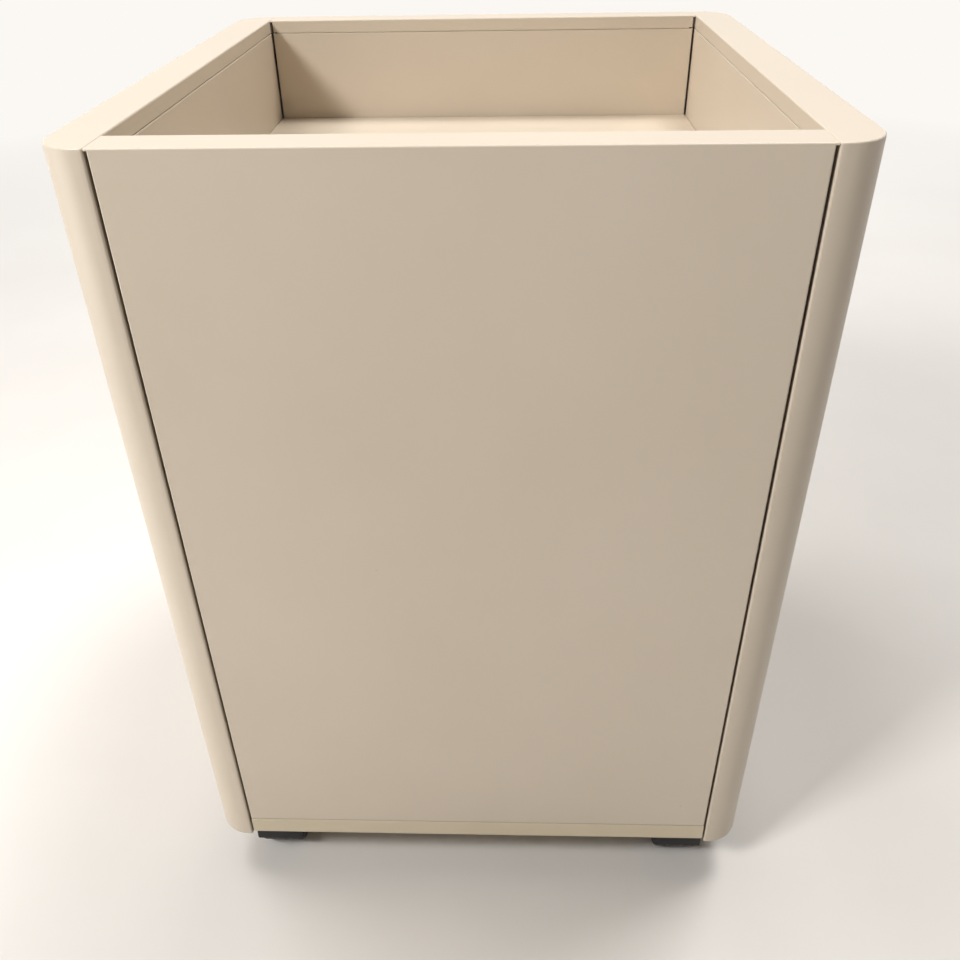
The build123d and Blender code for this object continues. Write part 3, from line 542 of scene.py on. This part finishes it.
def add_piece(
    name: str, shape: bmesh.types.BMesh, finishes: list[Finish], body: str, stands_for: str = ""
) -> None:
    """Turns a finished shape into a piece that rides on a body.

    Args:
        name: the piece's name.
        shape: its mesh, in the cabinet's own frame; it is freed.
        finishes: a finish for each material number that its faces use.
        body: the body that it moves with.
        stands_for: the CAD node that it replaces, if any.
    """
    mesh = bpy.data.meshes.new(name)
    shape.to_mesh(mesh)
    shape.free()
    mesh.shade_smooth()
    mesh.set_sharp_from_angle(angle=CREASE)
    for finish in finishes:
        mesh.materials.append(finish.material())
    piece = bpy.data.objects.new(name, mesh)
    bpy.context.scene.collection.objects.link(piece)
    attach(piece, body)
    if stands_for:
        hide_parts(stands_for)
    log.info("%s: %d faces on %s", name, len(mesh.polygons), body)


# The cabinet


@dataclass
class Casing:
    """The side panels, rear panel, header, tray floor and base, with what is fixed to them."""

    panels: tuple[str, ...] = ("left_side", "right_side", "rear_panel", "header")
    weight_edge_mm: float = 0.8
    stop_edge_mm: float = 0.6

    def dress(self) -> None:
        """Coats the casing, and finishes the counterweight, screws, casters' mounts and slides' stops."""
        dress(CASING, *(f"{panel}_{skin}_skin" for panel in self.panels for skin in ("outer", "inner")))
        dress(CASING, "tray_floor")
        dress(BASE, "base_pan")
        dress(IRON, "counterweight", round_mm=self.weight_edge_mm)
        dress(ZINC, "pan_head_screws", "caster_mounts")
        dress(BUFFER, "slide_rear_stops", round_mm=self.stop_edge_mm)


@dataclass
class DrawerUnit:
    """A drawer: its coated front and body, and a moulded pull with a bezel round its slot.

    The bezel's section is (distance behind the front's face, distance from the middle of the slot's end).
    """

    drawer: Drawer
    slot_z_mm: float
    front_y_mm: float = -210.5
    slot_height_mm: float = 30.0
    slot_width_mm: float = 104.0
    bezel_mm: tuple[tuple[float, float], ...] = (
        (5.5, 14.95), (0.8, 14.95), (0.3, 14.8), (0.1, 14.4), (0.1, 14.0), (0.35, 13.6), (0.9, 13.3),
        (2.0, 13.2), (5.5, 13.2),
    )
    bezel_steps: int = 96
    tray_edge_mm: float = 0.9

    @property
    def body(self) -> str:
        """The body that the drawer's pieces ride on."""
        return f"{self.drawer.value}_drawer"

    def bezel(self) -> None:
        """A smooth ring just inside the pull's slot, spun round, then drawn out to the slot's length."""
        centre = Vector((0, self.front_y_mm * MM, self.slot_z_mm * MM))
        shape = spun(list(self.bezel_mm), centre, INWARDS, closed=True, steps=self.bezel_steps)
        stretch = (self.slot_width_mm - self.slot_height_mm) / 2 * MM
        for side in Hand:
            ends = [v for v in shape.verts if v.co.x * side.value > WELD_MM * MM]
            bmesh.ops.translate(shape, vec=(side.value * stretch, 0, 0), verts=ends)
        add_piece(f"{self.drawer.value}_pull_bezel", shape, [PULL], self.body)

    def dress(self) -> None:
        """Coats the drawer and finishes its fittings."""
        kind = self.drawer.value
        dress(FRONTS, f"{kind}_drawer_front_skin", f"{kind}_drawer_front_liner")
        dress(BODIES, f"{kind}_drawer_body")
        dress(PULL, f"{kind}_drawer_pull")
        dress(ZINC, f"{kind}_lock_catch")
        if self.drawer is Drawer.BOX:
            dress(PENCILS, "pencil_tray", round_mm=self.tray_edge_mm)
        else:
            dress(ZINC, "hanging_file_rails")

    def build(self) -> None:
        """Dresses the drawer and adds its bezel."""
        self.dress()
        self.bezel()


@dataclass
class Rail:
    """One kind of roll-formed slide rail, left and right: a C section with rounded bends.

    Its plate and its mouth are given from the middle of the cabinet, and its height from the slide's
    middle. A rail without lips has a lip of 0.
    """

    kind: str
    body: str
    plate_mm: float
    mouth_mm: float
    half_height_mm: float
    length_mm: float
    lip_mm: float
    bend_steps: int = 4

    def strip(self, start_y_mm: float, height_mm: float) -> bmesh.types.BMesh:
        """Folds the right rail's section and draws it out along Y, with sharp bends and no thickness.

        Args:
            start_y_mm: its front end.
            height_mm: the slide's middle above the floor.

        Returns:
            The folded strip.
        """
        half = self.half_height_mm
        plate, mouth = self.plate_mm, self.mouth_mm
        fold = [(mouth, half), (plate, half), (plate, -half), (mouth, -half)]
        if self.lip_mm:
            fold = [(mouth, half - self.lip_mm), *fold, (mouth, self.lip_mm - half)]
        shape = bmesh.new()
        points = [shape.verts.new((x * MM, start_y_mm * MM, (height_mm + z) * MM)) for x, z in fold]
        section = [shape.edges.new(pair) for pair in zip(points, points[1:])]
        drawn = bmesh.ops.extrude_edge_only(shape, edges=section)["geom"]
        far = [v for v in drawn if isinstance(v, bmesh.types.BMVert)]
        bmesh.ops.translate(shape, vec=(0, self.length_mm * MM, 0), verts=far)
        return shape

    def build(
        self, drawer: Drawer, start_y_mm: float, height_mm: float, sheet_mm: float, bend_mm: float
    ) -> None:
        """Rounds the folded strip's bends, gives it its sheet's thickness, and mirrors it.

        Args:
            drawer: the drawer that it carries.
            start_y_mm: its front end.
            height_mm: the slide's middle above the floor.
            sheet_mm: its thickness.
            bend_mm: the outer radius of its bends.
        """
        shape = self.strip(start_y_mm, height_mm)
        bends = [e for e in shape.edges if len(e.link_faces) == 2]
        bmesh.ops.bevel(
            shape, geom=bends, offset=bend_mm * MM, offset_type="OFFSET", segments=self.bend_steps,
            profile=0.5, affect="EDGES", material=-1,
        )
        shape.normal_update()
        # The strip is the rail's outside, so it faces away from the mouth before it thickens inwards.
        middle_x = (self.plate_mm + self.mouth_mm) / 2 * MM
        plate = max(shape.faces, key=lambda f: abs(f.calc_center_median().x - middle_x) + f.calc_area())
        if plate.normal.x * (self.plate_mm - self.mouth_mm) < 0:
            bmesh.ops.reverse_faces(shape, faces=shape.faces[:])
        bmesh.ops.solidify(shape, geom=shape.faces[:], thickness=sheet_mm * MM)
        whole = shape.verts[:] + shape.edges[:] + shape.faces[:]
        other = bmesh.ops.duplicate(shape, geom=whole)["geom"]
        mirrored = [v for v in other if isinstance(v, bmesh.types.BMVert)]
        bmesh.ops.scale(shape, vec=(-1, 1, 1), verts=mirrored)
        close(shape)
        name = f"{drawer.value}_{self.kind}_rails"
        add_piece(f"{name}_rolled", shape, [ZINC], self.body, name)


@dataclass
class SlideSet:
    """The telescopic slides of one drawer: three nested rails a side, with balls in cages between them.

    A rail's section is (its plate's and its mouth's distances from the side panel, half its height).
    """

    drawer: Drawer
    height_mm: float
    inner_x_mm: float = 173.3
    start_y_mm: float = -170.5
    length_mm: float = 325.0
    moving_length_mm: float = 317.0
    cabinet_section_mm: tuple[float, float, float] = (0.0, 10.5, 22.75)
    cabinet_lip_mm: float = 3.0
    middle_section_mm: tuple[float, float, float] = (4.2, 11.2, 18.55)
    drawer_section_mm: tuple[float, float, float] = (13.0, 6.6, 14.35)
    sheet_mm: float = 1.2
    bend_mm: float = 1.9

    def rails(self) -> list[Rail]:
        """The three kinds of rail, from the side panel inwards."""
        kind, moving = self.drawer.value, self.moving_length_mm
        kinds = (
            ("cabinet", "cabinet", self.cabinet_section_mm, self.length_mm, self.cabinet_lip_mm),
            ("middle", f"{kind}_middle_slide", self.middle_section_mm, moving, 0.0),
            ("drawer", f"{kind}_drawer", self.drawer_section_mm, moving, 0.0),
        )
        return [
            Rail(word, body, self.inner_x_mm - plate, self.inner_x_mm - mouth, half_height, length, lip)
            for word, body, (plate, mouth, half_height), length, lip in kinds
        ]

    def build(self) -> None:
        """Forms the rails and polishes the balls."""
        for rail in self.rails():
            rail.build(self.drawer, self.start_y_mm, self.height_mm, self.sheet_mm, self.bend_mm)
        dress(BALLS, *(f"{self.drawer.value}_{place}_ball_cages" for place in ("outer", "inner")))


@dataclass
class Lock:
    """The lock in the header: a chromed barrel with a rolled rim, its plug and cam, and the bar behind it.

    The barrel's section is (distance behind the header's face, radius).
    """

    place_mm: tuple[float, float, float] = (145.0, -210.5, 462.0)
    barrel_mm: tuple[tuple[float, float], ...] = (
        (24.6, 8.5), (1.3, 8.5), (0.6, 8.35), (0.15, 8.0), (0.0, 7.5), (0.1, 7.0), (0.5, 6.5), (1.0, 6.2),
        (1.6, 6.05), (24.6, 6.05),
    )

    def barrel(self) -> None:
        """The barrel, whose rim rolls in to the plug."""
        shape = spun(list(self.barrel_mm), Vector(self.place_mm) * MM, INWARDS, closed=True)
        add_piece("lock_barrel_rim", shape, [CHROME], "cabinet", "lock_housing")

    def build(self) -> None:
        """Makes the barrel and dresses the rest."""
        self.barrel()
        dress(CHROME, "lock_plug")
        dress(ZINC, "lock_cam", "lock_bar")
        dress(NATURAL, "lock_bar_guides")


@dataclass
class Caster:
    """A twin-wheel caster: hood, axle, two spoked wheels with softer treads, and a brake lever in front.

    The wheels trail outwards at each end. A wheel's section is (distance from the caster's middle,
    radius).
    """

    end: End
    hand: Hand
    swivel_x_mm: float = 158.0
    swivel_y_mm: float = 160.5
    trail_mm: float = 15.0
    axle_z_mm: float = 19.0
    wheel_mm: tuple[tuple[float, float], ...] = (
        (15.6, 0.0), (15.6, 2.6), (6.3, 2.6), (6.3, 17.3), (6.55, 18.2), (7.2, 18.8), (8.0, 19.0),
        (10.5, 19.0), (10.7, 18.6), (11.3, 18.6), (11.5, 19.0), (14.0, 19.0), (15.2, 18.8), (16.2, 18.1),
        (16.8, 17.1), (17.0, 16.0), (17.0, 13.6), (16.7, 13.1), (16.0, 12.8), (14.2, 12.3), (14.2, 5.7),
        (16.3, 5.1), (16.8, 4.8), (17.0, 4.3), (17.0, 1.6), (16.7, 1.1), (16.5, 0.0),
    )
    wheel_steps: int = 72
    dish_mm: float = 14.2
    spokes: int = 6
    spoke_mm: float = 1.5
    spoke_inset_mm: float = 0.25
    tread_radius_mm: float = 18.0
    hood_edge_mm: float = 0.35
    lever_edge_mm: float = 0.6
    ribs: int = 3
    rib_mm: tuple[float, float, float] = (15.0, 1.0, 1.2)
    rib_from_mm: float = 2.4
    rib_pitch_mm: float = 2.2
    rib_z_mm: float = 33.2
    rib_edge_mm: float = 0.3
    rib_edge_steps: int = 2

    @property
    def corner(self) -> str:
        """The end of its pieces' names."""
        return f"{self.end.name.lower()}_{self.hand.name.lower()}"

    @property
    def swivel(self) -> Vector:
        """The foot of its swivel axis."""
        return Vector((self.hand.value * self.swivel_x_mm, self.end.value * self.swivel_y_mm, 0.0)) * MM

    def spoke_floor(
        self, shape: bmesh.types.BMesh, centre: Vector, side: Hand, spoke: int
    ) -> list[bmesh.types.BMFace]:
        """Finds the faces that a spoke rises from, a step of the turn to either side of its middle.

        Args:
            shape: the wheel so far.
            centre: its middle.
            side: the side of the caster that it is on.
            spoke: the spoke's number, counted round from the top.

        Returns:
            Those faces of the dish's floor.
        """
        pitch = math.tau / self.wheel_steps
        middle = spoke * self.wheel_steps // self.spokes
        low, high = (middle - 1) * pitch, (middle + 1) * pitch
        chosen = []
        for face in shape.faces:
            off = face.calc_center_median() - centre
            turn = math.atan2(off.y, off.z) % math.tau
            on_floor = abs(off.x * side.value / MM - self.dish_mm) < WELD_MM
            if on_floor and (low < turn < high or low < turn - math.tau < high):
                chosen.append(face)
        return chosen

    def wheel(self, side: Hand) -> None:
        """A wheel, spun from its section, with spokes raised out of the dish in its outer face."""
        centre = self.swivel + Vector((0, self.end.value * self.trail_mm, self.axle_z_mm)) * MM
        outward = Vector((side.value, 0, 0))
        shape = spun(list(self.wheel_mm), centre, outward, closed=False, steps=self.wheel_steps)
        for spoke in range(self.spokes):
            floor = self.spoke_floor(shape, centre, side, spoke)
            inset = self.spoke_inset_mm * MM
            bmesh.ops.inset_region(shape, faces=floor, thickness=inset, use_even_offset=True)
            raised = bmesh.ops.extrude_face_region(shape, geom=floor)["geom"]
            tips = [v for v in raised if isinstance(v, bmesh.types.BMVert)]
            bmesh.ops.translate(shape, vec=outward * self.spoke_mm * MM, verts=tips)
            bmesh.ops.delete(shape, geom=floor, context="FACES_ONLY")
        close(shape)
        for face in shape.faces:
            off = face.calc_center_median() - centre
            face.material_index = int(math.hypot(off.y, off.z) > self.tread_radius_mm * MM)
        word = side.name.lower()
        name, body = f"caster_wheel_{self.corner}_{word}", f"{self.corner}_{word}_wheel"
        add_piece(f"{name}_spoked", shape, [WHEEL, TREAD], body, name)

    def brake_ribs(self) -> None:
        """Low ribs across the brake pad, which a shoe presses."""
        shape = bmesh.new()
        pad_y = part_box(f"brake_lever_{self.corner}")[0].y
        for row in range(self.ribs):
            made = bmesh.ops.create_cube(shape, size=1.0)["verts"]
            bmesh.ops.scale(shape, vec=Vector(self.rib_mm) * MM, verts=made)
            rib_y = pad_y + (self.rib_from_mm + self.rib_pitch_mm * row) * MM
            bmesh.ops.translate(shape, vec=(self.swivel.x, rib_y, self.rib_z_mm * MM), verts=made)
        # The edges round the face that lies on the pad stay sharp.
        rims = [e for e in shape.edges if all(f.normal.z > -0.5 for f in e.link_faces)]
        bmesh.ops.bevel(
            shape, geom=rims, offset=self.rib_edge_mm * MM, offset_type="OFFSET",
            segments=self.rib_edge_steps, profile=0.5, affect="EDGES", material=-1,
        )
        close(shape)
        body = f"{self.corner}_brake"
        add_piece(f"brake_ribs_{self.corner}", shape, [HOOD], body)

    def build(self) -> None:
        """Dresses the hood and axle, and makes the wheels and the brake's ribs."""
        dress(HOOD, f"caster_hood_{self.corner}", round_mm=self.hood_edge_mm)
        dress(ZINC, f"caster_axle_{self.corner}")
        for side in Hand:
            self.wheel(side)
        if self.end is End.FRONT:
            dress(HOOD, f"brake_lever_{self.corner}", round_mm=self.lever_edge_mm)
            self.brake_ribs()


# Studio


@dataclass
class PhotoCamera:
    """The camera, above and behind the cabinet, a little to the right of its middle as the rear is seen.

    Angles are in degrees. Yaw turns the view from straight along -Y, and pitch tips it down.
    """

    place: tuple[float, float, float] = (-0.0256, 0.6440, 0.6694)
    yaw: float = -2.318
    pitch: float = 34.100
    roll: float = -1.075
    focal_px: float = 921.8
    frame_px: float = 960.0
    sensor_mm: float = 36.0
    nearest: float = 0.01

    def build(self) -> None:
        """Makes the camera and the scene's view of it."""
        data = bpy.data.cameras.new("photo_camera")
        data.sensor_width = self.sensor_mm
        data.lens = data.sensor_width * self.focal_px / self.frame_px
        data.clip_start = self.nearest
        camera = bpy.data.objects.new("photo_camera", data)
        bpy.context.scene.collection.objects.link(camera)
        turn = Matrix.Rotation(math.radians(180 - self.yaw), 4, "Z")
        tip = Matrix.Rotation(math.radians(90 - self.pitch), 4, "X")
        lean = Matrix.Rotation(math.radians(self.roll), 4, "Z")
        camera.matrix_world = Matrix.Translation(self.place) @ turn @ tip @ lean
        bpy.context.scene.camera = camera


@dataclass(frozen=True)
class Softbox:
    """A square lamp that lights the cabinet, and that no camera sees.

    Its size is in metres and its power in watts. A lamp that isn't mirrored leaves no highlight. The
    highlight of one that stands low in front of the drawers would turn the lock white.
    """

    name: str
    place: tuple[float, float, float]
    size: float
    power: float
    mirrored: bool = True
    aim: tuple[float, float, float] = (0.0, 0.0, 0.45)

    def build(self) -> None:
        """Makes the lamp and points it."""
        data = bpy.data.lights.new(self.name, "AREA")
        data.size = self.size
        data.energy = self.power
        lamp = bpy.data.objects.new(self.name, data)
        bpy.context.scene.collection.objects.link(lamp)
        lamp.location = self.place
        lamp.rotation_euler = (Vector(self.aim) - lamp.location).to_track_quat("-Z", "Y").to_euler()
        lamp.visible_camera = False
        lamp.visible_glossy = self.mirrored


@dataclass
class Studio:
    """A pale floor that fades into a white surround, under a faint sky and five soft lamps.

    The lamps' left and right are as the camera sees them. The floor's faint clouds come a few to a metre.
    """

    floor_half: float = 20.0
    floor_deeper: str = "dcd7d1"
    floor_colour: str = "e3ded8"
    floor_clouds: float = 3.0
    floor_roughness: float = 0.75
    fade: tuple[float, float] = (0.9, 2.6)
    backdrop: str = "fbf8f4"
    sky: str = "fffdfa"
    horizon: float = 0.03
    zenith: float = 0.1
    lamps: tuple[Softbox, ...] = (
        Softbox("right_ceiling_softbox", place=(-1.5, -1.2, 5.0), size=1.6, power=143.0),
        Softbox("left_ceiling_softbox", place=(1.6, -0.8, 4.5), size=1.6, power=82.0),
        Softbox("window_softbox", place=(1.19, 1.1, 1.8), size=0.4, power=28.0),
        Softbox("side_softbox", place=(1.2, 0.5, 0.45), size=0.8, power=3.9),
        Softbox("front_softbox", place=(0.0, -2.4, 0.42), size=0.26, power=19.0, mirrored=False),
    )

    def seen(self, tree: bpy.types.NodeTree) -> Socket:
        """1 for rays from the camera or off a glossy surface, which see the white background."""
        rays = add_node(tree, "ShaderNodeLightPath").outputs
        links = {0: rays["Is Camera Ray"], 1: rays["Is Glossy Ray"]}
        return add_node(tree, "ShaderNodeMath", {"operation": "MAXIMUM"}, links).outputs[0]

    def floor_material(self) -> bpy.types.Material:
        """Sealed plaster, which keeps the cabinet's shadow and turns to a white backdrop further out."""
        made = bpy.data.materials.new("sealed_plaster_floor")
        made.use_nodes = True
        tree = made.node_tree
        tree.nodes.clear()
        place = add_node(tree, "ShaderNodeTexCoord").outputs["Object"]
        settings = {"Scale": self.floor_clouds, "Detail": 6.0}
        cloud = add_node(tree, "ShaderNodeTexNoise", settings, {"Vector": place}).outputs["Fac"]
        stops = {NOISE_LOW: linear(self.floor_deeper), NOISE_HIGH: linear(self.floor_colour)}
        tone = add_node(tree, "ShaderNodeValToRGB", links={"Fac": cloud}, stops=stops).outputs["Color"]
        settings = {"Roughness": self.floor_roughness}
        plaster = add_node(tree, "ShaderNodeBsdfPrincipled", settings, {"Base Color": tone})
        white = add_node(tree, "ShaderNodeEmission", {"Color": linear(self.backdrop), "Strength": 1.0})
        away = add_node(tree, "ShaderNodeVectorMath", {"operation": "LENGTH"}, {0: place}).outputs["Value"]
        settings = {"From Min": self.fade[0], "From Max": self.fade[1]}
        far = add_node(tree, "ShaderNodeMapRange", settings, {"Value": away}).outputs["Result"]
        share = add_node(tree, "ShaderNodeMath", {"operation": "MULTIPLY"}, {0: far, 1: self.seen(tree)})
        links = {0: share.outputs["Value"], 1: plaster.outputs["BSDF"], 2: white.outputs["Emission"]}
        mix = add_node(tree, "ShaderNodeMixShader", links=links)
        add_node(tree, "ShaderNodeOutputMaterial", links={"Surface": mix.outputs["Shader"]})
        return made

    def floor(self) -> None:
        """A wide floor."""
        mesh = bpy.data.meshes.new("studio_floor")
        shape = bmesh.new()
        bmesh.ops.create_grid(shape, x_segments=1, y_segments=1, size=self.floor_half)
        shape.to_mesh(mesh)
        shape.free()
        plane = bpy.data.objects.new("studio_floor", mesh)
        bpy.context.scene.collection.objects.link(plane)
        mesh.materials.append(self.floor_material())

    def surround(self) -> None:
        """A sky that lights more from above than from the side, and is white where the camera sees it."""
        world = bpy.data.worlds.new("studio_surround")
        bpy.context.scene.world = world
        world.use_nodes = True
        tree = world.node_tree
        tree.nodes.clear()
        way = add_node(tree, "ShaderNodeTexCoord").outputs["Generated"]
        up = add_node(tree, "ShaderNodeSeparateXYZ", links={"Vector": way}).outputs["Z"]
        settings = {"From Min": 0.0, "From Max": 1.0, "To Min": self.horizon, "To Max": self.zenith}
        level = add_node(tree, "ShaderNodeMapRange", settings, {"Value": up}).outputs["Result"]
        sky = add_node(tree, "ShaderNodeBackground", {"Color": linear(self.sky)}, {"Strength": level})
        white = add_node(tree, "ShaderNodeBackground", {"Color": linear(self.backdrop), "Strength": 1.0})
        links = {0: self.seen(tree), 1: sky.outputs["Background"], 2: white.outputs["Background"]}
        mix = add_node(tree, "ShaderNodeMixShader", links=links)
        add_node(tree, "ShaderNodeOutputWorld", links={"Surface": mix.outputs["Shader"]})

    def build(self) -> None:
        """Sets up the floor, the surround and the lamps."""
        self.floor()
        self.surround()
        for lamp in self.lamps:
            lamp.build()
        bpy.context.scene.view_settings.view_transform = "Standard"


def main() -> None:
    """Builds the cabinet's sub-assemblies, then the studio."""
    Casing().dress()
    for drawer in Drawer:
        DrawerUnit(drawer, SLOT_Z_MM[drawer]).build()
        SlideSet(drawer, SLIDE_Z_MM[drawer]).build()
    Lock().build()
    for end in End:
        for hand in Hand:
            Caster(end, hand).build()
    shown = {name: node for name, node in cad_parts.items() if not node.hide_render}
    bare = [name for name, node in shown.items() if not node.data.materials]
    log.info("nodes without a finish: %s", bare or "none")
    Studio().build()
    PhotoCamera().build()


if __name__ == "__main__":
    main()
